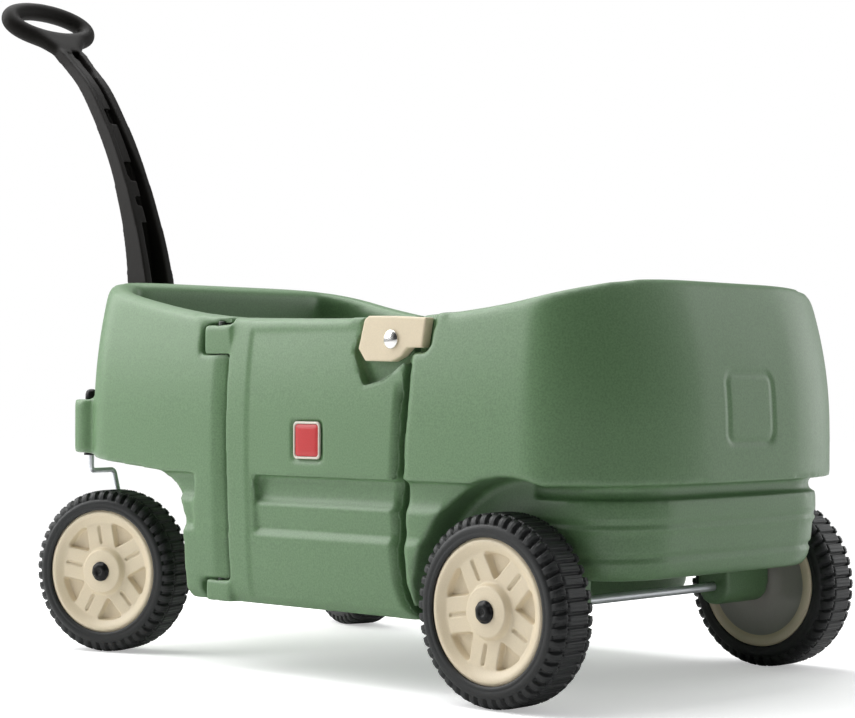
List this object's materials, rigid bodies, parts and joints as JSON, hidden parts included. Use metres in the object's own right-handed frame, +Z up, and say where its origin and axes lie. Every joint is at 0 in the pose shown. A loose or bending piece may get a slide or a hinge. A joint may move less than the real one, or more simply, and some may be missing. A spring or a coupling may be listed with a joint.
{
  "type": "pull wagon",
  "caption": "Moulded children's pull wagon with a latched side door, swivelling wire casters in front, fixed rear wheels and an upright pull handle with a loop grip.",
  "frame": {"origin": "on the ground, under the middle of the overall length and width", "axes": "+X forward towards the pull handle, +Y towards the door side, +Z up"},
  "size_m": [1.2247, 0.523, 0.8566],
  "materials": {
    "body_plastic": "sage green rotational moulding, fine speckled grain",
    "latch_plastic": "light tan moulded plastic",
    "plate_plastic": "plain red plate with no marking",
    "wheel_plastic": "beige moulded plastic",
    "tyre_plastic": "dark grey moulded tread",
    "handle_plastic": "dark grey moulded plastic, satin",
    "cap_plastic": "black moulded plastic",
    "plated_steel": "bright zinc plate",
    "bright_screw": "bright steel"
  },
  "bodies": {
    "tub": {"tub_shell": "body_plastic", "rear_axle_rod": "plated_steel", "rear_axle_caps": "cap_plastic", "rear_axle_spacers": "cap_plastic", "caster_bushings": "cap_plastic", "handle_pivot_pin": "plated_steel", "handle_pin_caps": "cap_plastic"},
    "door": {"door_panel": "body_plastic", "door_badge_plate": "plate_plastic", "door_hinge_pin_upper": "plated_steel", "door_hinge_pin_lower": "plated_steel", "latch_screw": "bright_screw"},
    "latch": {"latch_lever": "latch_plastic"},
    "handle": {"pull_handle": "handle_plastic"},
    "caster_left": {"caster_wire_left": "plated_steel", "caster_stem_cap_left": "cap_plastic", "front_axle_cap_left": "cap_plastic", "front_spacer_left": "cap_plastic"},
    "caster_right": {"caster_wire_right": "plated_steel", "caster_stem_cap_right": "cap_plastic", "front_axle_cap_right": "cap_plastic", "front_spacer_right": "cap_plastic"},
    "front_wheel_left": {"front_wheel_centre_left": "wheel_plastic", "front_tyre_left": "tyre_plastic"},
    "front_wheel_right": {"front_wheel_centre_right": "wheel_plastic", "front_tyre_right": "tyre_plastic"},
    "rear_wheel_left": {"rear_wheel_centre_left": "wheel_plastic", "rear_tyre_left": "tyre_plastic"},
    "rear_wheel_right": {"rear_wheel_centre_right": "wheel_plastic", "rear_tyre_right": "tyre_plastic"}
  },
  "joints": [
    {"name": "door_hinge", "type": "hinge", "parent": "tub", "child": "door", "pos_m": [-0.05415, 0.226, 0.22], "axis": [0, 0, -1], "range_deg": [0, 100]},
    {"name": "latch_pivot", "type": "hinge", "parent": "door", "child": "latch", "pos_m": [-0.32915, 0.229, 0.364], "axis": [0, 1, 0], "range_deg": [0, 30]},
    {"name": "handle_pivot", "type": "hinge", "parent": "tub", "child": "handle", "pos_m": [0.33385, 0, 0.258], "axis": [0, 1, 0], "range_deg": [0, 85]},
    {"name": "caster_swivel_left", "type": "hinge", "parent": "tub", "child": "caster_left", "pos_m": [0.20285, 0.211, 0.264], "axis": [0, 0, 1], "continuous": true},
    {"name": "caster_swivel_right", "type": "hinge", "parent": "tub", "child": "caster_right", "pos_m": [0.20285, -0.211, 0.264], "axis": [0, 0, 1], "continuous": true},
    {"name": "front_wheel_spin_left", "type": "hinge", "parent": "caster_left", "child": "front_wheel_left", "pos_m": [0.16877, 0.20289, 0.096], "axis": [-0.314, 0.9494, 0], "continuous": true},
    {"name": "front_wheel_spin_right", "type": "hinge", "parent": "caster_right", "child": "front_wheel_right", "pos_m": [0.16877, -0.20289, 0.096], "axis": [0.314, 0.9494, 0], "continuous": true},
    {"name": "rear_wheel_spin_left", "type": "hinge", "parent": "tub", "child": "rear_wheel_left", "pos_m": [-0.47815, 0.2285, 0.096], "axis": [0, 1, 0], "continuous": true},
    {"name": "rear_wheel_spin_right", "type": "hinge", "parent": "tub", "child": "rear_wheel_right", "pos_m": [-0.47815, -0.2285, 0.096], "axis": [0, 1, 0], "continuous": true}
  ]
}
